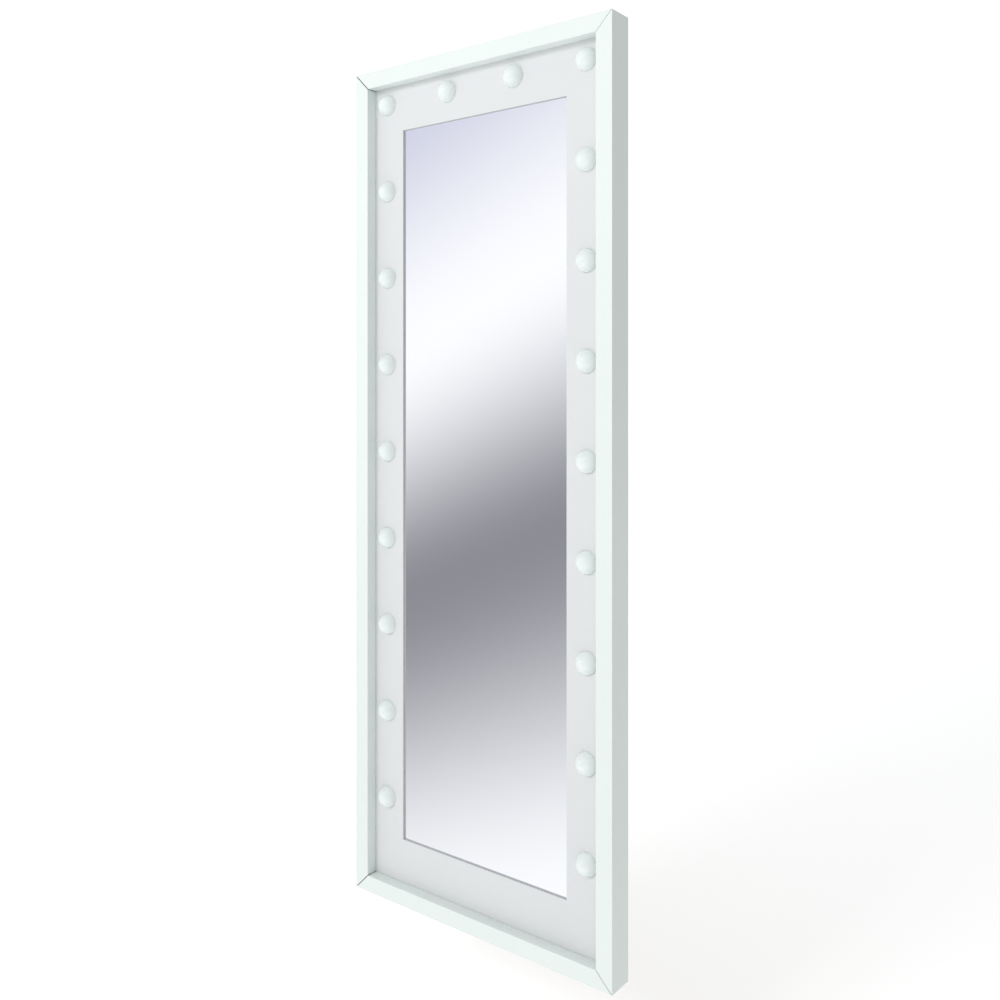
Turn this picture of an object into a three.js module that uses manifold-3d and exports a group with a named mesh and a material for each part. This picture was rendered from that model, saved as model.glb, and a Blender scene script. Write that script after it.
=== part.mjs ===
import * as THREE from "three";
import { mergeVertices } from "three/addons/utils/BufferGeometryUtils.js";
import Module from "manifold-3d";

// Lighted vanity mirror, millimetres, +Z up, the glass faces -Y and the wall plane is Y = 0.
// Heights are counted from the underside of the frame until the last lines, which move the origin.

// Overall frame and the section of its rails.
const WIDTH = 600;
const HEIGHT = 1650;
const DEPTH = 54;
const RIM = 32; // width of the front face of a rail
const WALL = 18; // thickness of a rail beside the cavity
const REAR_WALL = 8; // what the rear rebate leaves of it
const FRONT_Y = -DEPTH;
const SHOULDER_Y = -30; // the face panel rests against the back of the rim here
const LEDGE_Y = -8; // the back board rests here
const GAP = 0.3; // between pieces that touch
const MITRE_GAP = { left: 0.8, right: 0.25 }; // how far each rail stops short of the corner

// Face panel, its mirror opening, the glass and the back board.
const PANEL_THICKNESS = 4;
const PANEL_FRONT = SHOULDER_Y + GAP;
const PANEL_BACK = PANEL_FRONT + PANEL_THICKNESS;
const OPENING = { side: 106.5, top: 122, bottom: 117 };
const GLASS_THICKNESS = 4;
const GLASS_OVERLAP = 12;
const GLASS_FRONT = PANEL_BACK + GAP;
const GLASS_BACK = GLASS_FRONT + GLASS_THICKNESS;
const BOARD_THICKNESS = 3;
const BOARD_FRONT = LEDGE_Y + GAP;
const BOARD_BACK = BOARD_FRONT + BOARD_THICKNESS;

// Globe lamps: two columns of equal pitch, joined by a row along the top. Each 45 mm globe sits in a
// round hole with its centre behind the panel, so that a dome of it stands proud.
const LAMP = {
  radius: 20.5,
  sink: 1.5, // centre of the globe behind the panel's front
  holeClearance: 0.5,
  flange: 23.5,
  flangeThickness: 1.7,
  base: 15,
  backY: -14.7,
  columnInset: 65,
  topInset: 66,
  pitch: 174,
  perColumn: 9,
  topGaps: 3, // the top row is split into this many equal gaps
};

// Rocker switch in the left stile.
const SWITCH = {
  height: 300,
  y: -19,
  pivotX: -WIDTH / 2 + 0.5,
  tilt: THREE.MathUtils.degToRad(8),
  bezel: { y: 8, z: 10.5, out: 1.5 },
  body: { y: 6.6, z: 9.6, depth: 16 },
  cutOutClearance: 0.3,
  pocket: { radius: 8.85, y: 5 },
  rocker: { half: 7.6, waist: 2.8, y: 4.7 },
  trunnion: { radius: 1.4, reach: 6, hole: 1.5, holeReach: 6.2 },
  tab: { y: 3, z: 0.4, spacing: 4.5, reach: 8 },
};

// Low-voltage inlet in the bottom rail.
const JACK = {
  x: -200,
  y: -17.5,
  flange: 7.5,
  flangeHeight: 1.5,
  body: 5.5,
  hole: 5.9,
  top: 24,
  socket: 2.8,
  socketDepth: 9,
  pin: 1.05,
  pinTip: 0.5,
  nut: { inner: 5.8, outer: 7.6, height: 3 },
};

// Fixings and inner hardware.
const HANGER = {
  x: 180,
  height: 1612,
  width: 70,
  bridge: 46,
  tall: 36,
  sheet: 1.2,
  head: 5.5,
  slot: 2.8,
  slotRise: 11,
  headDrop: 5,
  screwX: 29,
};
const BATTEN = { half: 279, low: 1600, high: 1625, front: -23.4 };
const BRACE = { leg: 60, sheet: 2, front: -25.2, back: -11 };
const CLIP = { length: 25, sheet: 1.2, foot: 16, lap: 9, clearance: 0.6 };
const LEDGE = { half: 150, tall: 12, back: -12 };
const LOOM = { x: 262, half: 2.5, front: -16, back: -13, topRow: 1560, rightEnd: 180 };
const BLOCK = { x0: -270, x1: -230, z0: 60, z1: 75, front: -23, back: -11, screw: 2, screwDepth: 4 };
const LEAD = { half: 2, front: -21, back: -17, switchX: -256, blockX: -240, bendZ: 46 };
const SCREW = { shaft: 1.5, hole: 1.9, pilot: 1.8, head: 3.2, headHeight: 1.5, boardLength: 15 };
const BOARD_SCREW_INSET = 13;
const BOARD_SCREW_HEIGHTS = [150, 825, 1500];

const ROUND = 16;
const LAMP_SIDES = 14; // of a lamp or the hole for it
const SMALL_ROUND = 12;

const wasm = await Module();
wasm.setup();

// ---- solids ----

function solid(geometry) {
  const bare = geometry.clone();
  bare.deleteAttribute("normal");
  bare.deleteAttribute("uv");
  const merged = mergeVertices(bare, 1e-4);
  return new wasm.Manifold(
    new wasm.Mesh({
      numProp: 3,
      vertProperties: new Float32Array(merged.attributes.position.array),
      triVerts: new Uint32Array(merged.index.array),
    }),
  );
}

function box(x0, x1, y0, y1, z0, z1) {
  const geometry = new THREE.BoxGeometry(x1 - x0, y1 - y0, z1 - z0);
  geometry.translate((x0 + x1) / 2, (y0 + y1) / 2, (z0 + z1) / 2);
  return solid(geometry);
}

function cylinderY(x, z, radius, y0, y1, sides = SMALL_ROUND) {
  const geometry = new THREE.CylinderGeometry(radius, radius, y1 - y0, sides);
  geometry.translate(x, (y0 + y1) / 2, z);
  return solid(geometry);
}

function cylinderZ(x, y, radius, z0, z1, sides = ROUND) {
  const geometry = new THREE.CylinderGeometry(radius, radius, z1 - z0, sides);
  geometry.rotateX(Math.PI / 2);
  geometry.translate(x, y, (z0 + z1) / 2);
  return solid(geometry);
}

// Outline of [x, z] points, pushed along Y.
function plateXZ(outline, y0, y1) {
  const shape = new THREE.Shape(outline.map(([x, z]) => new THREE.Vector2(x, z)));
  const geometry = new THREE.ExtrudeGeometry(shape, { depth: y1 - y0, bevelEnabled: false });
  geometry.rotateX(Math.PI / 2);
  geometry.translate(0, y1, 0);
  return solid(geometry);
}

// Profile of [radius, height] points turned about the local Y axis.
function lathe(profile, sides) {
  const points = profile.map(([r, h]) => new THREE.Vector2(r, h));
  return new THREE.LatheGeometry(points, sides);
}

// ---- the assembly ----

const mirror = new THREE.Group();
mirror.name = "lighted_vanity_mirror";

const FINISH = {
  white_foil: { color: 0xf1f3f1, roughness: 0.4 },
  white_panel: { color: 0xe2e4e5, roughness: 0.6 },
  silvered_glass: { color: 0xd9dde0, roughness: 0.05, metalness: 1 },
  hardboard: { color: 0xb48a5c, roughness: 0.8 },
  opal: { color: 0xf6fbfa, roughness: 0.25, emissive: 0x202020 },
  zinc_steel: { color: 0xb9bcc0, roughness: 0.35, metalness: 1 },
  softwood: { color: 0xcfae7c, roughness: 0.7 },
  black_plastic: { color: 0x1b1c1e, roughness: 0.45 },
  white_plastic: { color: 0xeceeed, roughness: 0.35 },
  wire_jacket: { color: 0xe9e9e4, roughness: 0.6 },
};

function add(name, body, finish) {
  const mesh = body.getMesh();
  const geometry = new THREE.BufferGeometry();
  geometry.setAttribute("position", new THREE.BufferAttribute(mesh.vertProperties, 3));
  geometry.setIndex(new THREE.BufferAttribute(mesh.triVerts, 1));
  geometry.computeVertexNormals();
  const piece = new THREE.Mesh(geometry, new THREE.MeshStandardMaterial(FINISH[finish]));
  piece.name = name;
  mirror.add(piece);
}

function remove(body, tools) {
  return tools.reduce((left, tool) => left.subtract(tool), body);
}

function join(bodies) {
  return bodies.reduce((sum, body) => sum.add(body));
}

// ---- mitred rails ----

// Section of a rail: [distance in from the outer face, Y].
const RAIL_SECTION = [
  [0, FRONT_Y],
  [RIM, FRONT_Y],
  [RIM, SHOULDER_Y],
  [WALL, SHOULDER_Y],
  [WALL, LEDGE_Y],
  [REAR_WALL, LEDGE_Y],
  [REAR_WALL, 0],
  [0, 0],
];

// A rail with 45 degree ends, its outer face `span / 2` from the frame's centre line and turned
// by `turn` about Y round the frame's centre; `shortBy` is the gap at its first and second end.
function mitredRail(length, span, turn, shortBy) {
  const contour = RAIL_SECTION.map(([u, y]) => new THREE.Vector2(u, y));
  const count = contour.length;
  const ends = [1, -1].flatMap((end, i) =>
    RAIL_SECTION.flatMap(([u, y]) => [u - span / 2, y, end * (u + shortBy[i] - length / 2)]),
  );
  const faces = [];
  for (let i = 0; i < count; i += 1) {
    const next = (i + 1) % count;
    faces.push(i, next, count + next);
    faces.push(i, count + next, count + i);
  }
  for (const [a, b, c] of THREE.ShapeUtils.triangulateShape(contour, [])) {
    faces.push(a, c, b);
    faces.push(count + a, count + b, count + c);
  }
  const geometry = new THREE.BufferGeometry();
  geometry.setAttribute("position", new THREE.Float32BufferAttribute(ends, 3));
  geometry.setIndex(faces);
  geometry.rotateY(turn);
  geometry.translate(0, 0, HEIGHT / 2);
  return solid(geometry);
}

const boardScrewSpots = [-1, 1].flatMap((side) =>
  BOARD_SCREW_HEIGHTS.map((z) => [side * (WIDTH / 2 - BOARD_SCREW_INSET), z]),
);
const pilotHoles = boardScrewSpots.map(([x, z]) =>
  cylinderY(x, z, SCREW.pilot, BOARD_BACK - SCREW.boardLength - 2, 1),
);
const switchCutOut = box(
  -WIDTH / 2 - 1,
  -WIDTH / 2 + WALL + 1,
  SWITCH.y - SWITCH.body.y - SWITCH.cutOutClearance,
  SWITCH.y + SWITCH.body.y + SWITCH.cutOutClearance,
  SWITCH.height - SWITCH.body.z - SWITCH.cutOutClearance,
  SWITCH.height + SWITCH.body.z + SWITCH.cutOutClearance,
);
const jackHole = cylinderZ(JACK.x, JACK.y, JACK.hole, -1, WALL + 1);
const quarter = Math.PI / 2;

const { left, right } = MITRE_GAP;
const railLeft = mitredRail(HEIGHT, WIDTH, 0, [left, left]);
const railRight = mitredRail(HEIGHT, WIDTH, 2 * quarter, [right, right]);

add("rail_left", remove(railLeft, [...pilotHoles, switchCutOut]), "white_foil");
add("rail_right", remove(railRight, pilotHoles), "white_foil");
add("rail_top", mitredRail(WIDTH, HEIGHT, quarter, [left, right]), "white_foil");
add("rail_bottom", remove(mitredRail(WIDTH, HEIGHT, 3 * quarter, [right, left]), [jackHole]), "white_foil");

// ---- lamps ----

const columnX = WIDTH / 2 - LAMP.columnInset;
const topZ = HEIGHT - LAMP.topInset;
const lampSpots = [];
for (let i = LAMP.perColumn - 1; i >= 0; i -= 1) {
  lampSpots.push([-columnX, topZ - i * LAMP.pitch]);
}
for (let i = 1; i < LAMP.topGaps; i += 1) {
  lampSpots.push([-columnX + (2 * columnX * i) / LAMP.topGaps, topZ]);
}
for (let i = 0; i < LAMP.perColumn; i += 1) {
  lampSpots.push([columnX, topZ - i * LAMP.pitch]);
}

const domeRadius = Math.sqrt(LAMP.radius ** 2 - LAMP.sink ** 2);

// From the back of the base to the crown of the dome: [radius, height above the panel's front].
function lampProfile() {
  const seat = PANEL_FRONT - PANEL_BACK - GAP;
  const profile = [
    [0, PANEL_FRONT - LAMP.backY],
    [LAMP.base, PANEL_FRONT - LAMP.backY],
    [LAMP.base, seat - LAMP.flangeThickness],
    [LAMP.flange, seat - LAMP.flangeThickness],
    [LAMP.flange, seat],
    [domeRadius, seat],
  ];
  const steps = 6;
  const start = Math.asin(LAMP.sink / LAMP.radius);
  for (let i = 0; i <= steps; i += 1) {
    const angle = start + ((Math.PI / 2 - start) * i) / steps;
    const radius = i === steps ? 0 : LAMP.radius * Math.cos(angle);
    profile.push([radius, LAMP.radius * Math.sin(angle) - LAMP.sink]);
  }
  return profile;
}

lampSpots.forEach(([x, z], i) => {
  const geometry = lathe(lampProfile(), LAMP_SIDES);
  geometry.rotateX(Math.PI);
  geometry.translate(x, PANEL_FRONT, z);
  add("bulb_" + String(i + 1).padStart(2, "0"), solid(geometry), "opal");
});

// ---- face panel, glass, back board ----

const panelEdge = WALL + GAP;
const openX = WIDTH / 2 - OPENING.side;
const openLow = OPENING.bottom;
const openHigh = HEIGHT - OPENING.top;
const glassX = openX + GLASS_OVERLAP;
const glassLow = openLow - GLASS_OVERLAP;
const glassHigh = openHigh + GLASS_OVERLAP;

const panelBlank = box(
  panelEdge - WIDTH / 2,
  WIDTH / 2 - panelEdge,
  PANEL_FRONT,
  PANEL_BACK,
  panelEdge,
  HEIGHT - panelEdge,
);
const mirrorOpening = box(-openX, openX, PANEL_FRONT - 1, PANEL_BACK + 1, openLow, openHigh);
const lampHoles = lampSpots.map(([x, z]) =>
  cylinderY(x, z, domeRadius + LAMP.holeClearance, PANEL_FRONT - 1, PANEL_BACK + 1, LAMP_SIDES),
);
add("face_panel", remove(panelBlank, [mirrorOpening, ...lampHoles]), "white_panel");
add("mirror_glass", box(-glassX, glassX, GLASS_FRONT, GLASS_BACK, glassLow, glassHigh), "silvered_glass");

const hangerScrewSpots = [-1, 1].flatMap((side) =>
  [-1, 1].map((end) => [side * HANGER.x + end * HANGER.screwX, HANGER.height]),
);
const boardEdge = REAR_WALL + GAP;
const boardBlank = box(
  boardEdge - WIDTH / 2,
  WIDTH / 2 - boardEdge,
  BOARD_FRONT,
  BOARD_BACK,
  boardEdge,
  HEIGHT - boardEdge,
);
const boardHoles = [...boardScrewSpots, ...hangerScrewSpots].map(([x, z]) =>
  cylinderY(x, z, SCREW.hole, BOARD_FRONT - 1, BOARD_BACK + 1),
);
add("back_board", remove(boardBlank, boardHoles), "hardboard");

// ---- screws ----

// A pan-head screw whose head rests on a face at `seatY` and whose point runs towards the front.
function addScrew(name, [x, z], seatY, length) {
  const profile = [
    [0, -length],
    [SCREW.shaft / 3, -length],
    [SCREW.shaft, -length + 2],
    [SCREW.shaft, GAP],
    [SCREW.head, GAP],
    [SCREW.head, GAP + SCREW.headHeight / 2],
    [SCREW.head / 2, GAP + SCREW.headHeight],
    [0, GAP + SCREW.headHeight],
  ];
  const geometry = lathe(profile, SMALL_ROUND);
  geometry.translate(x, seatY, z);
  add(name, solid(geometry), "zinc_steel");
}

boardScrewSpots.forEach((spot, i) => {
  addScrew("board_screw_" + (i + 1), spot, BOARD_BACK, SCREW.boardLength);
});

// ---- hanging hardware ----

const hangerSeat = BOARD_BACK + GAP;
const bridgeBack = -GAP;
const hangerScrewSeat = hangerSeat + HANGER.sheet;
hangerScrewSpots.forEach((spot, i) => {
  addScrew("hanger_screw_" + (i + 1), spot, hangerScrewSeat, SCREW.boardLength);
});

// Top-hat keyhole plate: two feet on the board, a bridge flush with the wall plane.
function hangerPlate(x) {
  const low = HANGER.height - HANGER.tall / 2;
  const high = HANGER.height + HANGER.tall / 2;
  const foot = HANGER.width / 2;
  const rise = HANGER.bridge / 2;
  const sheets = [box(x - rise, x + rise, bridgeBack - HANGER.sheet, bridgeBack, low, high)];
  for (const side of [-1, 1]) {
    const outer = x + side * foot;
    const bend = x + side * rise;
    const inner = bend - side * HANGER.sheet;
    sheets.push(
      box(Math.min(inner, outer), Math.max(inner, outer), hangerSeat, hangerScrewSeat, low, high),
      box(Math.min(bend, inner), Math.max(bend, inner), hangerSeat, bridgeBack, low, high),
    );
  }
  const headZ = HANGER.height - HANGER.headDrop;
  const slotZ = headZ + HANGER.slotRise;
  const cuts = [
    cylinderY(x, headZ, HANGER.head, bridgeBack - 2, 1, ROUND),
    cylinderY(x, slotZ, HANGER.slot, bridgeBack - 2, 1, ROUND),
    box(x - HANGER.slot, x + HANGER.slot, bridgeBack - 2, 1, headZ, slotZ),
    ...[-1, 1].map((end) =>
      cylinderY(x + end * HANGER.screwX, HANGER.height, SCREW.hole, hangerSeat - 1, hangerScrewSeat + 1),
    ),
  ];
  return remove(join(sheets), cuts);
}

add("hanger_left", hangerPlate(-HANGER.x), "zinc_steel");
add("hanger_right", hangerPlate(HANGER.x), "zinc_steel");

const battenBlank = box(
  -BATTEN.half,
  BATTEN.half,
  BATTEN.front,
  BOARD_FRONT - GAP,
  BATTEN.low,
  BATTEN.high,
);
const battenHoles = hangerScrewSpots.map(([x, z]) =>
  cylinderY(x, z, SCREW.pilot, hangerScrewSeat - SCREW.boardLength - 2, 0),
);
add("hanging_batten", remove(battenBlank, battenHoles), "softwood");

// ---- corner braces ----

const braceCorner = WIDTH / 2 - WALL - GAP;
for (const [side, name] of [
  [-1, "left"],
  [1, "right"],
]) {
  for (const [top, row] of [
    [0, "bottom"],
    [1, "top"],
  ]) {
    const x = side * braceCorner;
    const z = top ? HEIGHT - WALL - GAP : WALL + GAP;
    const up = top ? -1 : 1;
    const inward = -side;
    const outline = [
      [x, z],
      [x + inward * BRACE.leg, z],
      [x + inward * BRACE.leg, z + up * BRACE.sheet],
      [x + inward * BRACE.sheet, z + up * BRACE.sheet],
      [x + inward * BRACE.sheet, z + up * BRACE.leg],
      [x, z + up * BRACE.leg],
    ];
    add(`brace_${row}_${name}`, plateXZ(outline, BRACE.front, BRACE.back), "zinc_steel");
  }
}

// ---- what holds the glass ----

// Z-shaped clip, foot on the panel and lip behind the glass: [distance out from the glass edge, Y].
const clipBack = GLASS_BACK + GAP;
const CLIP_SECTION = [
  [CLIP.clearance, GLASS_FRONT],
  [CLIP.foot, GLASS_FRONT],
  [CLIP.foot, GLASS_FRONT + CLIP.sheet],
  [CLIP.clearance + CLIP.sheet, GLASS_FRONT + CLIP.sheet],
  [CLIP.clearance + CLIP.sheet, clipBack + CLIP.sheet],
  [-CLIP.lap, clipBack + CLIP.sheet],
  [-CLIP.lap, clipBack],
  [CLIP.clearance, clipBack],
];

// `turn` is the clip's direction out from the glass, about Y; 0 is +X and a quarter turn back is +Z.
function clip(edge, along, turn) {
  const shape = new THREE.Shape(CLIP_SECTION.map(([out, y]) => new THREE.Vector2(out + edge, y)));
  const geometry = new THREE.ExtrudeGeometry(shape, { depth: CLIP.length, bevelEnabled: false });
  geometry.translate(0, 0, along - CLIP.length / 2);
  geometry.rotateY(turn);
  return geometry;
}

const glassMiddle = (glassLow + glassHigh) / 2;
const sideClipOffset = 360;
const topClipOffset = 110;
const clipPlaces = [
  ["right", 0, glassX],
  ["left", Math.PI, glassX],
  ["top", -quarter, (glassHigh - glassLow) / 2],
];
for (const [place, turn, edge] of clipPlaces) {
  const offset = place === "top" ? topClipOffset : sideClipOffset;
  for (const step of [-1, 1]) {
    const geometry = clip(edge, step * offset, turn);
    geometry.translate(0, 0, glassMiddle);
    add(`glass_clip_${place}_${step < 0 ? 1 : 2}`, solid(geometry), "zinc_steel");
  }
}
add(
  "glass_ledge",
  box(-LEDGE.half, LEDGE.half, GLASS_FRONT, LEDGE.back, glassLow - GAP - LEDGE.tall, glassLow - GAP),
  "softwood",
);

// ---- rocker switch ----

const S = SWITCH;
const surface = -WIDTH / 2 - GAP;

function aboutPivot(geometry) {
  geometry.translate(S.pivotX, S.y, S.height);
  return solid(geometry);
}

function crossPin(radius, reach, sides) {
  return aboutPivot(new THREE.CylinderGeometry(radius, radius, 2 * reach, sides));
}

function switchHousing() {
  const { bezel, body, pocket, tab } = S;
  const shell = join([
    box(surface - bezel.out, surface, S.y - bezel.y, S.y + bezel.y, S.height - bezel.z, S.height + bezel.z),
    box(surface, surface + body.depth, S.y - body.y, S.y + body.y, S.height - body.z, S.height + body.z),
    ...[-1, 1].map((end) =>
      box(
        surface + body.depth,
        surface + body.depth + tab.reach,
        S.y - tab.y,
        S.y + tab.y,
        S.height + end * tab.spacing - tab.z,
        S.height + end * tab.spacing + tab.z,
      ),
    ),
  ]);
  return remove(shell, [
    crossPin(pocket.radius, pocket.y, 2 * ROUND),
    box(
      S.pivotX - 2 * pocket.radius,
      S.pivotX,
      S.y - pocket.y,
      S.y + pocket.y,
      S.height - pocket.radius,
      S.height + pocket.radius,
    ),
    crossPin(S.trunnion.hole, S.trunnion.holeReach, ROUND),
  ]);
}

// Shallow V face outside, a round belly about the pivot inside; stored tilted to the off side.
function switchRocker() {
  const { half, waist, y } = S.rocker;
  const lift = waist + half * Math.tan(S.tilt);
  const radius = Math.hypot(lift, half);
  const start = Math.atan2(half, -lift);
  const shape = new THREE.Shape();
  shape.moveTo(-lift, -half);
  const steps = ROUND;
  for (let i = 1; i <= steps; i += 1) {
    const angle = -start + (2 * start * i) / steps;
    shape.lineTo(radius * Math.cos(angle), radius * Math.sin(angle));
  }
  shape.lineTo(-waist, 0);
  const geometry = new THREE.ExtrudeGeometry(shape, { depth: 2 * y, bevelEnabled: false });
  geometry.translate(0, 0, -y);
  geometry.rotateX(quarter);
  geometry.rotateY(-S.tilt);
  return aboutPivot(geometry).add(crossPin(S.trunnion.radius, S.trunnion.reach, ROUND));
}

add("switch_housing", switchHousing(), "white_plastic");
add("switch_rocker", switchRocker(), "white_plastic");

// ---- inlet ----

const jackProfile = [
  [0, JACK.pinTip],
  [JACK.pin, JACK.pinTip],
  [JACK.pin, JACK.socketDepth],
  [JACK.socket, JACK.socketDepth],
  [JACK.socket, -GAP - JACK.flangeHeight],
  [JACK.flange, -GAP - JACK.flangeHeight],
  [JACK.flange, -GAP],
  [JACK.body, -GAP],
  [JACK.body, JACK.top],
  [0, JACK.top],
];
const jackGeometry = lathe(jackProfile, ROUND);
jackGeometry.rotateX(quarter);
jackGeometry.translate(JACK.x, JACK.y, 0);
add("dc_jack", solid(jackGeometry), "black_plastic");

const nutLow = WALL + GAP;
const nutHigh = nutLow + JACK.nut.height;
const nutBlank = cylinderZ(JACK.x, JACK.y, JACK.nut.outer, nutLow, nutHigh, 6);
const nutHole = cylinderZ(JACK.x, JACK.y, JACK.nut.inner, nutLow - 1, nutHigh + 1);
add("jack_nut", nutBlank.subtract(nutHole), "zinc_steel");

// ---- wiring ----

function addTerminalBlock() {
  const blank = box(BLOCK.x0, BLOCK.x1, BLOCK.front, BLOCK.back, BLOCK.z0, BLOCK.z1);
  const ways = 3;
  const wells = [];
  for (let i = 0; i < ways; i += 1) {
    const x = BLOCK.x0 + ((i + 0.5) * (BLOCK.x1 - BLOCK.x0)) / ways;
    wells.push(cylinderY(x, (BLOCK.z0 + BLOCK.z1) / 2, BLOCK.screw, BLOCK.back - BLOCK.screwDepth, 0));
  }
  add("terminal_block", remove(blank, wells), "white_plastic");
}

function loomBar(x0, x1, z0, z1) {
  return box(x0, x1, LOOM.front, LOOM.back, z0, z1);
}

function addLoom() {
  const { x, half, topRow } = LOOM;
  const reach = columnX + LAMP.base + GAP;
  const bars = [
    loomBar(-x - half, -x + half, BLOCK.z1 + GAP, topRow + half),
    loomBar(x - half, x + half, LOOM.rightEnd, topRow + half),
    loomBar(-x, x, topRow - half, topRow + half),
  ];
  for (const [lampX, lampZ] of lampSpots) {
    if (lampX === -columnX) bars.push(loomBar(-x, -reach, lampZ - half, lampZ + half));
    else if (lampX === columnX) bars.push(loomBar(reach, x, lampZ - half, lampZ + half));
    else bars.push(loomBar(lampX - half, lampX + half, topRow, lampZ - LAMP.base - GAP));
  }
  // The two corner lamps hang above the loom's corners, so their stubs reach up beside the lamp base.
  for (const side of [-1, 1]) {
    bars.push(loomBar(side * x - half, side * x + half, topRow, topZ + half));
  }
  add("wiring_loom", join(bars), "wire_jacket");
}

function lead(outline) {
  return plateXZ(outline, LEAD.front, LEAD.back);
}

function addLeads() {
  const w = LEAD.half;
  const tabEnd = surface + S.body.depth + S.tab.reach + GAP;
  const topOfBlock = BLOCK.z1 + GAP;
  add(
    "switch_lead",
    lead([
      [tabEnd, S.height - w],
      [LEAD.switchX - w, S.height - w],
      [LEAD.switchX - w, topOfBlock],
      [LEAD.switchX + w, topOfBlock],
      [LEAD.switchX + w, S.height + w],
      [tabEnd, S.height + w],
    ]),
    "wire_jacket",
  );
  add(
    "jack_lead",
    lead([
      [JACK.x - w, JACK.top + GAP],
      [JACK.x + w, JACK.top + GAP],
      [JACK.x + w, LEAD.bendZ + w],
      [LEAD.blockX + w, LEAD.bendZ + w],
      [LEAD.blockX + w, BLOCK.z0 - GAP],
      [LEAD.blockX - w, BLOCK.z0 - GAP],
      [LEAD.blockX - w, LEAD.bendZ - w],
      [JACK.x - w, LEAD.bendZ - w],
    ]),
    "wire_jacket",
  );
}

addTerminalBlock();
addLoom();
addLeads();

// Origin on the wall plane, in the middle of the top rail's rear face.
mirror.position.z = REAR_WALL / 2 - HEIGHT;

export default mirror;
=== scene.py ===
import math
import random

import bmesh
import bpy
from mathutils import Matrix, Vector


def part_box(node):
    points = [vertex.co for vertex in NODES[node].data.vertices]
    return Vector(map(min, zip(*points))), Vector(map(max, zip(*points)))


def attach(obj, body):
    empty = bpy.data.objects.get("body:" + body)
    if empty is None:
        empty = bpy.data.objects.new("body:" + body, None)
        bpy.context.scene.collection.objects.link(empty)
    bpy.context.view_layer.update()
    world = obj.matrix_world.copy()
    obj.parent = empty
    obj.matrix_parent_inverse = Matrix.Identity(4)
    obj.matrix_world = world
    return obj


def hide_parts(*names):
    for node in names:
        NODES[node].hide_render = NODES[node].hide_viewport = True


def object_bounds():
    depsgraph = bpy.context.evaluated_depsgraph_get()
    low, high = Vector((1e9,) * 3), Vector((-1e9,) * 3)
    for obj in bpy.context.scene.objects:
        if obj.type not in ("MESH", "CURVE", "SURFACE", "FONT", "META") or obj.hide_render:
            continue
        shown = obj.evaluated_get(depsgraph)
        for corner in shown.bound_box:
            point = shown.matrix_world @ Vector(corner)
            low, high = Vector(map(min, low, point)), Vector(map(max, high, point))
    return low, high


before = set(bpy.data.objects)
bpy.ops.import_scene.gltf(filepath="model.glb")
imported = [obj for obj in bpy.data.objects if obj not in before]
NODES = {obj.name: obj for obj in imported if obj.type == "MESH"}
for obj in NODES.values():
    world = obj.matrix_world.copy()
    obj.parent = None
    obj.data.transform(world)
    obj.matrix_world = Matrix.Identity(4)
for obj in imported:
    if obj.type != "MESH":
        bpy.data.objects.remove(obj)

CAD_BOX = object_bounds()
MM = 0.001
BODY = "mirror"
ROCKER = "rocker"
LAMP_RADIUS = 20.5 * MM
LAMP_BASE = 15 * MM
LAMP_FLANGE = 1.7 * MM
LAMP_SIDES = 56
SCREW_HEAD = 3.2 * MM
SCREW_HEIGHT = 1.5 * MM
FLOOR_DROP = 0.22
CARD_DISTANCE = 4.0
LAMPS = sorted(n for n in NODES if n.startswith("bulb_"))
random.seed(7)


# ---- material helpers ----


def new_material(name, roughness, color, metallic=0.0, **sockets):
    """A Principled material; colour is linear RGB. Returns (material, node tree, shader)."""
    material = bpy.data.materials.new(name)
    material.use_nodes = True
    tree = material.node_tree
    shader = tree.nodes["Principled BSDF"]
    shader.inputs["Base Color"].default_value = (*color, 1)
    shader.inputs["Roughness"].default_value = roughness
    shader.inputs["Metallic"].default_value = metallic
    for socket, value in sockets.items():
        shader.inputs[socket.replace("_", " ")].default_value = value
    return material, tree, shader


def noise(tree, scale, detail=3.0, stretch=(1, 1, 1), roughness=0.5):
    """Object-space noise, metres times scale; returns its Fac output."""
    coordinates = tree.nodes.new("ShaderNodeTexCoord")
    mapping = tree.nodes.new("ShaderNodeMapping")
    mapping.inputs["Scale"].default_value = stretch
    texture = tree.nodes.new("ShaderNodeTexNoise")
    texture.inputs["Scale"].default_value = scale
    texture.inputs["Detail"].default_value = detail
    texture.inputs["Roughness"].default_value = roughness
    tree.links.new(coordinates.outputs["Object"], mapping.inputs["Vector"])
    tree.links.new(mapping.outputs["Vector"], texture.inputs["Vector"])
    return texture.outputs["Fac"]


def ramp(tree, fac, stops):
    node = tree.nodes.new("ShaderNodeValToRGB")
    elements = node.color_ramp.elements
    while len(elements) < len(stops):
        elements.new(0.5)
    for element, (position, color) in zip(elements, stops):
        element.position = position
        element.color = (*color, 1)
    tree.links.new(fac, node.inputs["Fac"])
    return node.outputs["Color"]


def value_range(tree, fac, low, high):
    node = tree.nodes.new("ShaderNodeMapRange")
    node.inputs["From Min"].default_value = 0.3
    node.inputs["From Max"].default_value = 0.7
    node.inputs["To Min"].default_value = low
    node.inputs["To Max"].default_value = high
    tree.links.new(fac, node.inputs["Value"])
    return node.outputs["Result"]


def add_bump(tree, shader, layers):
    """Bumps in a chain; each layer is (height output, strength, distance in metres)."""
    normal = None
    for height, strength, distance in layers:
        bump = tree.nodes.new("ShaderNodeBump")
        bump.inputs["Strength"].default_value = strength
        bump.inputs["Distance"].default_value = distance
        tree.links.new(height, bump.inputs["Height"])
        if normal is not None:
            tree.links.new(normal, bump.inputs["Normal"])
        normal = bump.outputs["Normal"]
    tree.links.new(normal, shader.inputs["Normal"])


def shade(color, factor):
    return tuple(min(1.0, channel * factor) for channel in color)


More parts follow.
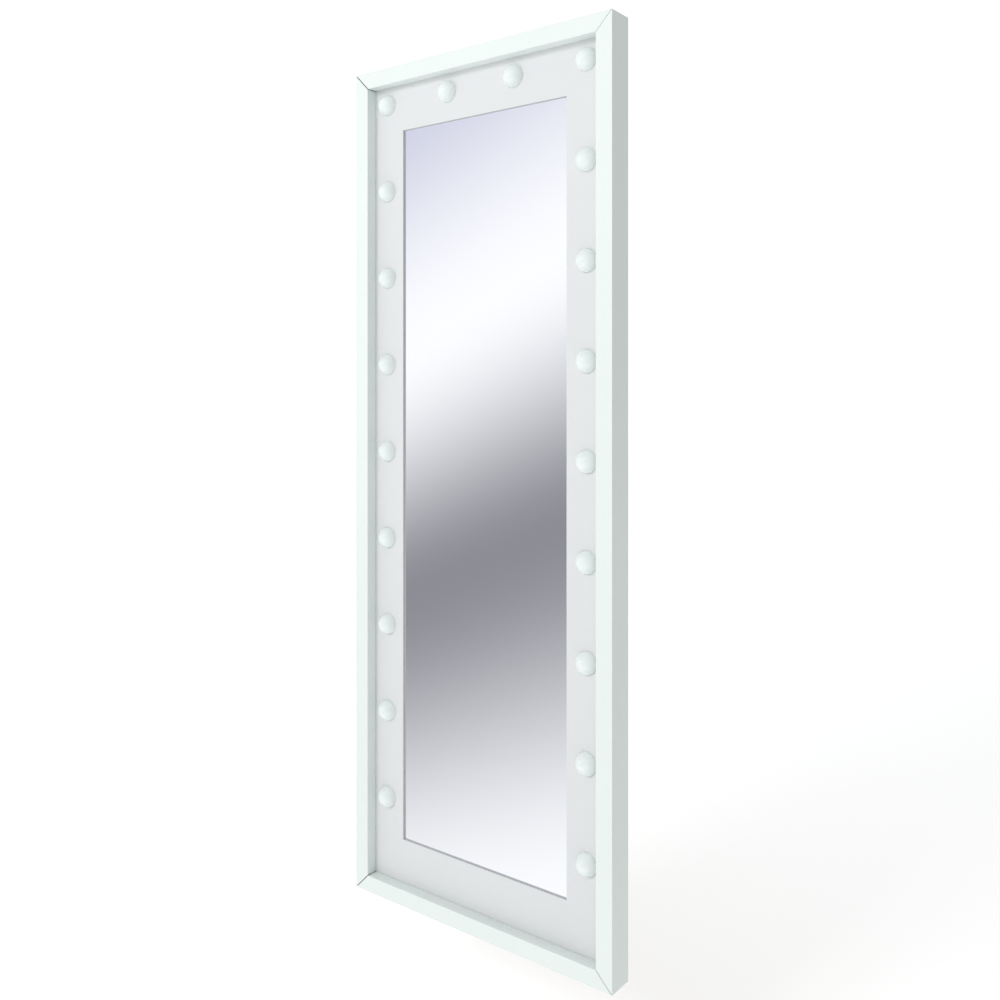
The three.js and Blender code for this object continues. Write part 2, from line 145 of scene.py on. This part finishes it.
def mottled(tree, shader, color, scale, amount, roughness, stretch=(1, 1, 1)):
    """Slight drift of colour and roughness over the surface."""
    drift = noise(tree, scale, 4.0, stretch)
    stops = [(0.3, shade(color, 1 - amount)), (0.7, shade(color, 1 + amount))]
    tree.links.new(ramp(tree, drift, stops), shader.inputs["Base Color"])
    fine = noise(tree, scale * 9, 2.0, stretch)
    tree.links.new(value_range(tree, fine, *roughness), shader.inputs["Roughness"])


# ---- materials ----

FOIL = (0.8, 0.862, 0.838)
PANEL = (0.725, 0.735, 0.745)


def make_foil(name, stretch):
    """Satin white foil; `stretch` is long along the rail, so its faint creases run across it."""
    material, tree, shader = new_material(name, 0.36, FOIL, Coat_Weight=0.15)
    shader.inputs["Coat Roughness"].default_value = 0.3
    mottled(tree, shader, FOIL, 3.0, 0.012, (0.3, 0.42))
    peel = noise(tree, 1400, 2.0)
    waves = noise(tree, 9, 1.5, stretch)
    creases = noise(tree, 46, 1.0, stretch, 0.3)
    add_bump(tree, shader, [(waves, 0.35, 0.0012), (creases, 0.25, 0.0006), (peel, 0.08, 0.00004)])
    return material


def make_panel():
    material, tree, shader = new_material("panel_lacquer", 0.55, PANEL)
    mottled(tree, shader, PANEL, 2.2, 0.01, (0.5, 0.62))
    grain = noise(tree, 1900, 3.0)
    roller = noise(tree, 160, 2.0, (1, 1, 0.2))
    add_bump(tree, shader, [(roller, 0.05, 0.0002), (grain, 0.12, 0.00004)])
    return material


def make_mirror():
    color = (0.942, 0.95, 0.985)
    material, tree, shader = new_material("silvered_float_glass", 0.012, color, 1.0)
    haze = noise(tree, 3.5, 5.0)
    tree.links.new(value_range(tree, haze, 0.008, 0.022), shader.inputs["Roughness"])
    return material


def make_opal():
    color = (0.83, 0.885, 0.88)
    material, tree, shader = new_material("opal_globe", 0.16, color, Subsurface_Weight=0.1)
    shader.inputs["Subsurface Radius"].default_value = (0.004, 0.004, 0.004)
    shader.inputs["Subsurface Scale"].default_value = 1.0
    shader.inputs["Coat Weight"].default_value = 0.4
    shader.inputs["Coat Roughness"].default_value = 0.08
    mottled(tree, shader, color, 40, 0.008, (0.13, 0.2))
    return material


def make_plastic(name, color, roughness, peel=0.06):
    material, tree, shader = new_material(name, roughness, color)
    mottled(tree, shader, color, 25, 0.015, (roughness - 0.05, roughness + 0.06))
    texture = noise(tree, 2600, 2.0)
    add_bump(tree, shader, [(texture, peel, 0.00005)])
    return material


def make_zinc():
    color = (0.62, 0.635, 0.66)
    material, tree, shader = new_material("zinc_plate", 0.32, color, 1.0)
    mottled(tree, shader, color, 130, 0.12, (0.24, 0.42), (1, 1, 0.12))
    brushed = noise(tree, 900, 2.0, (1, 1, 0.05))
    add_bump(tree, shader, [(brushed, 0.1, 0.00005)])
    return material


def make_hardboard():
    color = (0.33, 0.2, 0.105)
    material, tree, shader = new_material("hardboard", 0.75, color)
    fibre = noise(tree, 220, 6.0, (1, 1, 1), 0.7)
    stops = [(0.3, shade(color, 0.72)), (0.5, color), (0.72, shade(color, 1.4))]
    tree.links.new(ramp(tree, fibre, stops), shader.inputs["Base Color"])
    blotch = noise(tree, 5, 3.0)
    tree.links.new(value_range(tree, blotch, 0.66, 0.84), shader.inputs["Roughness"])
    screen = tree.nodes.new("ShaderNodeTexWave")
    screen.inputs["Scale"].default_value = 160
    screen.inputs["Distortion"].default_value = 0.6
    coordinates = tree.nodes.new("ShaderNodeTexCoord")
    tree.links.new(coordinates.outputs["Object"], screen.inputs["Vector"])
    add_bump(tree, shader, [(screen.outputs["Fac"], 0.15, 0.0002), (fibre, 0.25, 0.0002)])
    return material


def make_softwood():
    color = (0.56, 0.37, 0.19)
    material, tree, shader = new_material("planed_softwood", 0.6, color)
    grain = noise(tree, 150, 5.0, (0.06, 1, 1), 0.6)
    stops = [(0.35, shade(color, 0.7)), (0.5, color), (0.65, shade(color, 1.25))]
    tree.links.new(ramp(tree, grain, stops), shader.inputs["Base Color"])
    add_bump(tree, shader, [(grain, 0.2, 0.0003)])
    return material


MATERIALS = {
    "foil_upright": make_foil("foil_upright", (1, 1, 0.25)),
    "foil_across": make_foil("foil_across", (0.25, 1, 1)),
    # real raw board on the mitre faces, made darker as painted shade in the open mitre joints
    "raw_board_joint_shade": make_plastic("raw_fibreboard_joint_shade", (0.2, 0.15, 0.1), 0.8, 0.3),
    "panel": make_panel(),
    "mirror": make_mirror(),
    "opal": make_opal(),
    "collar": make_plastic("lamp_collar", (0.8, 0.82, 0.82), 0.35),
    "zinc": make_zinc(),
    "hardboard": make_hardboard(),
    "softwood": make_softwood(),
    # near-black: the jack shell's real black plastic, and painted shade in the screws' cross
    # recesses
    "black": make_plastic("black_moulding_and_recess_shade", (0.018, 0.018, 0.02), 0.42, 0.12),
    "white": make_plastic("white_moulding", (0.82, 0.83, 0.81), 0.3),
    "jacket": make_plastic("wire_jacket", (0.72, 0.72, 0.68), 0.5),
    "mark": make_plastic("switch_mark", (0.05, 0.05, 0.055), 0.5),
    "brass": make_plastic("contact_pin", (0.6, 0.58, 0.5), 0.3),
}
MATERIALS["brass"].node_tree.nodes["Principled BSDF"].inputs["Metallic"].default_value = 1.0


# ---- mesh helpers ----


def add_object(name, mesh, material, body=BODY, replaces=(), place=None):
    obj = bpy.data.objects.new(name, mesh)
    bpy.context.scene.collection.objects.link(obj)
    if place is not None:
        obj.matrix_world = place
    if material is not None:
        mesh.materials.clear()
        mesh.materials.append(MATERIALS[material])
    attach(obj, body)
    if replaces:
        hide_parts(*replaces)
    return obj


def mesh_from(name, bm, smooth_angle=35):
    mesh = bpy.data.meshes.new(name)
    bmesh.ops.recalc_face_normals(bm, faces=bm.faces)
    bm.to_mesh(mesh)
    bm.free()
    mesh.shade_smooth()
    mesh.set_sharp_from_angle(angle=math.radians(smooth_angle))
    return mesh


def soften(obj, width, segments=3, angle=30):
    bevel = obj.modifiers.new("edge", "BEVEL")
    bevel.width = width
    bevel.segments = segments
    bevel.limit_method = "ANGLE"
    bevel.angle_limit = math.radians(angle)
    bevel.harden_normals = True
    return obj


def softened_copy(node, name, material, width, segments=3, body=BODY):
    """The node's own shape with clean faces and rounded edges."""
    bm = bmesh.new()
    bm.from_mesh(NODES[node].data)
    bmesh.ops.remove_doubles(bm, verts=bm.verts, dist=1e-6)
    bmesh.ops.dissolve_limit(
        bm, angle_limit=math.radians(1), verts=bm.verts, edges=bm.edges
    )
    mesh = mesh_from(name, bm)
    obj = add_object(name, mesh, material, body, [node])
    return soften(obj, width, segments)


def lathe_mesh(name, profile, sides, smooth_angle=35):
    """Turns (radius, height) points about local Z; the ends lie on the axis or make a loop."""
    bm = bmesh.new()
    rings = []
    for radius, height in profile:
        if radius < 1e-9:
            rings.append([bm.verts.new((0, 0, height))])
            continue
        ring = []
        for i in range(sides):
            angle = 2 * math.pi * i / sides
            ring.append(bm.verts.new((radius * math.cos(angle), radius * math.sin(angle), height)))
        rings.append(ring)
    for low, high in zip(rings, rings[1:]):
        for i in range(sides):
            j = (i + 1) % sides
            corners = [low[i % len(low)], low[j % len(low)]]
            corners += [high[j % len(high)], high[i % len(high)]]
            unique = list(dict.fromkeys(corners))
            if len(unique) > 2:
                bm.faces.new(unique)
    return mesh_from(name, bm, smooth_angle)


def arc(center, radius, start, end, steps):
    """Points on an arc in (radius, height), angles in degrees."""
    points = []
    for i in range(steps + 1):
        angle = math.radians(start + (end - start) * i / steps)
        points.append((center[0] + radius * math.cos(angle), center[1] + radius * math.sin(angle)))
    return points


FACE_FRONT = Matrix.Rotation(math.radians(90), 4, "X")  # local +Z to world -Y
FACE_BACK = Matrix.Rotation(math.radians(-90), 4, "X")  # local +Z to world +Y


# ---- rails, panel, glass, boards ----


def wrapped_rail(node, material):
    """A foil-wrapped rail whose sawn mitre faces show the raw board, coloured darker than the board
    as painted shade in the open joint.
    """
    rail = softened_copy(node, node + "_wrapped", material, 0.9 * MM)
    rail.data.materials.append(MATERIALS["raw_board_joint_shade"])
    # mitre faces: raw board, darkened as painted shade in the joint
    for face in rail.data.polygons:
        if abs(face.normal.x) > 0.5 and abs(face.normal.z) > 0.5:
            face.material_index = 1


wrapped_rail("rail_left", "foil_upright")
wrapped_rail("rail_right", "foil_upright")
wrapped_rail("rail_top", "foil_across")
wrapped_rail("rail_bottom", "foil_across")
softened_copy("face_panel", "face_panel_lacquered", "panel", 0.4 * MM, 2)
softened_copy("back_board", "back_board_pressed", "hardboard", 0.3 * MM, 2)
softened_copy("mirror_glass", "mirror_pane", "mirror", 0.4 * MM, 2)


# ---- lamps ----


def lamp_meshes():
    """An opal dome with its body behind the panel, and the thin ring it is seated in."""
    low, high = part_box(LAMPS[0])
    panel_low, panel_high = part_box("face_panel")
    front, thickness = panel_low.y, panel_high.y - panel_low.y
    crown = front - low.y
    radius, base, flange = LAMP_RADIUS, LAMP_BASE, (high.x - low.x) / 2
    center = crown - radius
    back, seat = front - high.y, -thickness - 0.3 * MM
    rise = math.degrees(math.asin(-center / radius))
    under = seat - LAMP_FLANGE
    dome = [(0, back), (base - 1 * MM, back), (base, back + 1 * MM), (base, under)]
    dome += [(flange, under), (flange, seat)]
    edge = radius * math.cos(math.radians(rise))
    dome += [(edge, seat)]
    dome += arc((0, center), radius, rise, 90, 28)[:-1]
    dome += [(0, crown)]
    inner = edge + 0.05 * MM
    ring = [(inner, -0.8 * MM), (inner + 0.5 * MM, -0.8 * MM), (inner + 0.5 * MM, 0.0)]
    ring += arc((inner + 0.9 * MM, 0.2 * MM), 0.45 * MM, 0, 180, 8)
    ring += [(inner, 0.0), (inner, -0.8 * MM)]
    meshes = [lathe_mesh("dome", dome, LAMP_SIDES, 50), lathe_mesh("ring", ring, LAMP_SIDES, 50)]
    return (*meshes, front)


def build_lamps():
    dome, ring, front = lamp_meshes()
    dome.materials.append(MATERIALS["opal"])
    ring.materials.append(MATERIALS["collar"])
    for node in LAMPS:
        low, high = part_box(node)
        place = Vector(((low.x + high.x) / 2, front, (low.z + high.z) / 2))
        spin = Matrix.Rotation(random.uniform(0, 2 * math.pi), 4, "Z")
        number = node.split("_")[1]
        for kind, mesh in (("dome", dome), ("ring", ring)):
            obj = bpy.data.objects.new(f"lamp_{kind}_{number}", mesh)
            bpy.context.scene.collection.objects.link(obj)
            obj.matrix_world = Matrix.Translation(place) @ FACE_FRONT @ spin
            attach(obj, BODY)
            if kind == "dome":
                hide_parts(node)


build_lamps()


# ---- screws ----


def screw_mesh():
    """Pan head and a threaded shank, the cross recess being a separate piece; head seat at local Z
    0, point at -Z.
    """
    head, height, length, shaft = SCREW_HEAD, SCREW_HEIGHT, 15 * MM, 1.5 * MM
    profile = [(0, -length), (0.2 * MM, -length), (shaft * 0.7, -length + 2.5 * MM)]
    turns = 14
    for i in range(turns):
        z = -length + 3 * MM + i * (length - 4 * MM) / turns
        profile += [(shaft * 0.7, z), (shaft, z + 0.35 * MM), (shaft * 0.7, z + 0.7 * MM)]
    profile += [(shaft * 0.75, 0.05 * MM), (head, 0.05 * MM), (head, 0.5 * MM)]
    for angle in (0.4, 0.8, 1.2):
        rise = (height - 0.5 * MM) * math.sin(angle)
        profile.append((head * math.cos(angle), 0.5 * MM + rise))
    profile.append((0, height))
    return lathe_mesh("screw", profile, 24)


def recess_shade_mesh():
    """Painted shade in a screw head's cross recess: a shallow plus-shaped tray coloured near-black.
    """
    bm = bmesh.new()
    arm, half = 1.7 * MM, 0.32 * MM
    outline = []
    for turn in range(4):
        a = math.pi / 2 * turn
        for x, y in ((arm, -half), (arm, half), (half, half)):
            outline.append((x * math.cos(a) - y * math.sin(a), x * math.sin(a) + y * math.cos(a)))
    rims = [bm.verts.new((x, y, 0.04 * MM)) for x, y in outline]
    floor = [bm.verts.new((x * 0.6, y * 0.6, -0.5 * MM)) for x, y in outline]
    for i in range(len(outline)):
        j = (i + 1) % len(outline)
        bm.faces.new((rims[i], rims[j], floor[j], floor[i]))
    bm.faces.new(rims)
    bm.faces.new(list(reversed(floor)))
    return mesh_from("cross", bm)


def build_screws():
    body, cross = screw_mesh(), recess_shade_mesh()
    body.materials.append(MATERIALS["zinc"])
    # the near-black cross tray is painted shade in the zinc head's recess
    cross.materials.append(MATERIALS["black"])
    for node in sorted(n for n in NODES if "_screw_" in n):
        low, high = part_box(node)
        seat = Vector(((low.x + high.x) / 2, high.y - SCREW_HEIGHT, (low.z + high.z) / 2))
        turn = Matrix.Rotation(random.uniform(0, math.pi), 4, "Z")
        screw = bpy.data.objects.new(node + "_pan", body)
        recess = bpy.data.objects.new(node + "_recess_shade", cross)
        for obj, lift in ((screw, 0), (recess, 1.44 * MM)):
            bpy.context.scene.collection.objects.link(obj)
            obj.matrix_world = (
                Matrix.Translation(seat) @ FACE_BACK @ turn @ Matrix.Translation((0, 0, lift))
            )
            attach(obj, BODY)
        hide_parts(node)


build_screws()


# ---- hardware ----

for plate in ("hanger_left", "hanger_right"):
    softened_copy(plate, plate + "_plate", "zinc", 0.25 * MM, 2)
for node in sorted(NODES):
    if node.startswith(("brace_", "glass_clip_")):
        softened_copy(node, node + "_formed", "zinc", 0.3 * MM, 2)
softened_copy("hanging_batten", "batten_planed", "softwood", 0.8 * MM, 2)
softened_copy("glass_ledge", "ledge_planed", "softwood", 0.8 * MM, 2)
softened_copy("terminal_block", "terminal_block_moulded", "white", 0.5 * MM, 2)
for run in ("wiring_loom", "switch_lead", "jack_lead"):
    softened_copy(run, run + "_jacket", "jacket", 0.8 * MM, 3)
softened_copy("jack_nut", "jack_nut_turned", "zinc", 0.3 * MM, 2)


# ---- rocker switch ----

softened_copy("switch_housing", "switch_bezel", "white", 0.35 * MM, 3)
softened_copy("switch_rocker", "switch_paddle", "white", 0.3 * MM, 3, ROCKER)


def rocker_faces():
    """Centre and outward normal of the rocker's two half faces, the lower one first."""
    bm = bmesh.new()
    bm.from_mesh(NODES["switch_rocker"].data)
    bmesh.ops.remove_doubles(bm, verts=bm.verts, dist=1e-6)
    bmesh.ops.dissolve_limit(bm, angle_limit=math.radians(1), verts=bm.verts, edges=bm.edges)
    bm.normal_update()
    outward = [face for face in bm.faces if face.normal.x < -0.8]
    outward.sort(key=lambda face: -face.calc_area())
    halves = [(face.calc_center_median(), face.normal.copy()) for face in outward[:2]]
    bm.free()
    return sorted(halves, key=lambda half: half[0].z)


def bar_mesh(name):
    """A short upright bar, rounded at both ends."""
    half, radius, height = 1.1 * MM, 0.25 * MM, 0.12 * MM
    outline = [(x, half + y) for x, y in arc((0, 0), radius, 0, 180, 8)]
    outline += [(x, y - half) for x, y in arc((0, 0), radius, 180, 360, 8)]
    bm = bmesh.new()
    low = [bm.verts.new((x, y, -height / 2)) for x, y in outline]
    high = [bm.verts.new((x, y, height / 2)) for x, y in outline]
    bm.faces.new(high)
    bm.faces.new(list(reversed(low)))
    for i in range(len(outline)):
        j = (i + 1) % len(outline)
        bm.faces.new((low[i], low[j], high[j], high[i]))
    return mesh_from(name, bm)


def build_switch_marks():
    """A bar and a ring moulded on the two halves of the rocker, the usual on and off signs."""
    outer, inner, height = 1.3 * MM, 0.95 * MM, 0.06 * MM
    ring = [(outer, -height), (outer, height), (inner, height), (inner, -height), (outer, -height)]
    meshes = (("mark_on", bar_mesh("mark_on")), ("mark_off", lathe_mesh("mark_off", ring, 32)))
    for (name, mesh), (center, normal) in zip(meshes, rocker_faces()):
        facing = normal.to_track_quat("Z", "Y").to_matrix().to_4x4()
        place = Matrix.Translation(center + normal * 0.02 * MM) @ facing
        add_object(name, mesh, "mark", ROCKER, place=place)


build_switch_marks()


# ---- inlet ----


def build_jack():
    low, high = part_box("dc_jack")
    axis = Vector(((low.x + high.x) / 2, (low.y + high.y) / 2, low.z))
    flange, height, shaft, top = 7.5 * MM, 1.5 * MM, 5.5 * MM, high.z - low.z
    profile = [(0, 10.8 * MM), (2.8 * MM, 10.8 * MM), (2.8 * MM, 0.5 * MM)]
    profile += [(3.3 * MM, 0), (flange - 0.5 * MM, 0)]
    profile += arc((flange - 0.5 * MM, 0.5 * MM), 0.5 * MM, -90, 0, 3)
    profile += [(flange, height), (shaft, height)]
    z = height + 1 * MM
    while z < top - 1.5 * MM:
        profile += [(shaft, z), (shaft - 0.35 * MM, z + 0.4 * MM)]
        z += 0.8 * MM
    profile += [(shaft, top - 0.5 * MM), (shaft - 0.5 * MM, top), (0, top)]
    shell = lathe_mesh("dc_jack_shell", profile, 40)
    place = Matrix.Translation(axis)
    add_object("dc_jack_shell", shell, "black", BODY, ["dc_jack"], place)
    tip, root, radius = 2.3 * MM, 10.9 * MM, 1.05 * MM
    pin = [(0, tip), (0.6 * MM, tip), (radius, tip + 0.5 * MM), (radius, root), (0, root)]
    contact = lathe_mesh("dc_jack_pin", pin, 20)
    add_object("dc_jack_pin", contact, "brass", BODY, place=place)


build_jack()


# ---- stage ----

BOTTOM = CAD_BOX[0].z


def stage_plane(name, corners, material):
    mesh = bpy.data.meshes.new(name)
    mesh.from_pydata(corners, [], [tuple(range(len(corners)))])
    mesh.materials.append(material)
    obj = bpy.data.objects.new(name, mesh)
    bpy.context.scene.collection.objects.link(obj)
    return obj


def emission_material(name):
    material = bpy.data.materials.new(name)
    material.use_nodes = True
    tree = material.node_tree
    tree.nodes.clear()
    output = tree.nodes.new("ShaderNodeOutputMaterial")
    glow = tree.nodes.new("ShaderNodeEmission")
    tree.links.new(glow.outputs["Emission"], output.inputs["Surface"])
    return material, tree, glow


def build_card():
    """The soft grey sweep in front of the mirror that the glass shows; only glossy rays see it."""
    material, tree, glow = emission_material("studio_sweep")
    white, shadow, pale = (1.0, 1.0, 1.0), (0.27, 0.27, 0.295), (0.64, 0.65, 0.76)
    low, middle, high, top = -1.2, 1.1, 2.7, 4.4
    lean = math.radians(24)
    coordinates = tree.nodes.new("ShaderNodeTexCoord")
    along = tree.nodes.new("ShaderNodeVectorMath")
    along.operation = "DOT_PRODUCT"
    along.inputs[1].default_value = (-math.sin(lean), 0, math.cos(lean))
    scale = tree.nodes.new("ShaderNodeMapRange")
    scale.inputs["From Min"].default_value = low
    scale.inputs["From Max"].default_value = top
    tree.links.new(coordinates.outputs["Object"], along.inputs[0])
    tree.links.new(along.outputs["Value"], scale.inputs["Value"])
    places = [(z - low) / (top - low) for z in (low, middle, high, top)]
    color = ramp(tree, scale.outputs["Result"], list(zip(places, (white, shadow, white, pale))))
    color.node.color_ramp.interpolation = "EASE"
    tree.links.new(color, glow.inputs["Color"])
    glow.inputs["Strength"].default_value = 1.04
    corners = [(-7, 0, -4.5), (5, 0, -4.5), (5, 0, 6), (-7, 0, 6)]
    card = stage_plane("studio_sweep", corners, material)
    card.location = (0, -CARD_DISTANCE, BOTTOM)
    card.visible_camera = False
    card.visible_diffuse = False
    card.visible_shadow = False


def build_floor():
    material, tree, shader = new_material("pale_floor", 0.8, (0.97, 0.97, 0.97))
    mottled(tree, shader, (0.97, 0.97, 0.97), 1.5, 0.004, (0.75, 0.85))
    shader.inputs["Emission Color"].default_value = (1, 1, 1, 1)
    shader.inputs["Emission Strength"].default_value = 0.34
    z = BOTTOM - FLOOR_DROP
    floor = stage_plane("floor", [(-14, -14, z), (14, -14, z), (14, 14, z), (-14, 14, z)], material)
    floor.visible_glossy = False


def build_flag():
    """A dim card off to the right that takes light off the faces turned that way."""
    material, tree, glow = emission_material("flag")
    glow.inputs["Color"].default_value = (1, 1, 1, 1)
    glow.inputs["Strength"].default_value = 0.44
    flag = stage_plane(
        "flag",
        [(2.6, -2.2, BOTTOM - 0.2), (2.6, 3.0, BOTTOM - 0.2), (2.6, 3.0, 2.4), (2.6, -2.2, 2.4)],
        material,
    )
    flag.visible_camera = False


def build_world():
    """White to the camera, a little less as light."""
    world = bpy.data.worlds.new("studio")
    bpy.context.scene.world = world
    world.use_nodes = True
    tree = world.node_tree
    tree.nodes.clear()
    output = tree.nodes.new("ShaderNodeOutputWorld")
    mix = tree.nodes.new("ShaderNodeMixShader")
    path = tree.nodes.new("ShaderNodeLightPath")
    light = tree.nodes.new("ShaderNodeBackground")
    light.inputs["Color"].default_value = (0.985, 1.0, 1.0, 1)
    light.inputs["Strength"].default_value = 0.7
    backdrop = tree.nodes.new("ShaderNodeBackground")
    backdrop.inputs["Color"].default_value = (1, 1, 1, 1)
    backdrop.inputs["Strength"].default_value = 1.05
    tree.links.new(path.outputs["Is Camera Ray"], mix.inputs["Fac"])
    tree.links.new(light.outputs["Background"], mix.inputs[1])
    tree.links.new(backdrop.outputs["Background"], mix.inputs[2])
    tree.links.new(mix.outputs["Shader"], output.inputs["Surface"])


def add_area(name, location, target, size, energy, color=(1, 1, 1)):
    data = bpy.data.lights.new(name, "AREA")
    data.shape = "RECTANGLE"
    data.size, data.size_y = size
    data.energy = energy
    data.color = color
    lamp = bpy.data.objects.new(name, data)
    lamp.location = location
    lamp.rotation_euler = (Vector(target) - Vector(location)).to_track_quat("-Z", "Y").to_euler()
    lamp.visible_glossy = False
    lamp.visible_camera = False
    bpy.context.scene.collection.objects.link(lamp)
    return lamp


build_card()
build_floor()
build_flag()
build_world()
middle = (CAD_BOX[0] + CAD_BOX[1]) / 2
add_area("softbox_high", (-0.8, -4.2, 1.4), (0, 0, middle.z + 0.3), (1.6, 1.2), 62)


# ---- camera ----

camera_data = bpy.data.cameras.new("camera")
camera_data.sensor_width = 36
camera_data.lens = 36.6
camera_data.shift_x = 0.0247
camera_data.shift_y = -0.1136
camera_data.clip_start = 0.05
camera = bpy.data.objects.new("camera", camera_data)
camera.location = (1.1734, -1.5281, BOTTOM + 0.0018 + 1.01845)
camera.rotation_euler = (math.radians(90), 0, math.radians(38.31))
bpy.context.scene.collection.objects.link(camera)
bpy.context.scene.camera = camera
bpy.context.scene.view_settings.view_transform = "Standard"
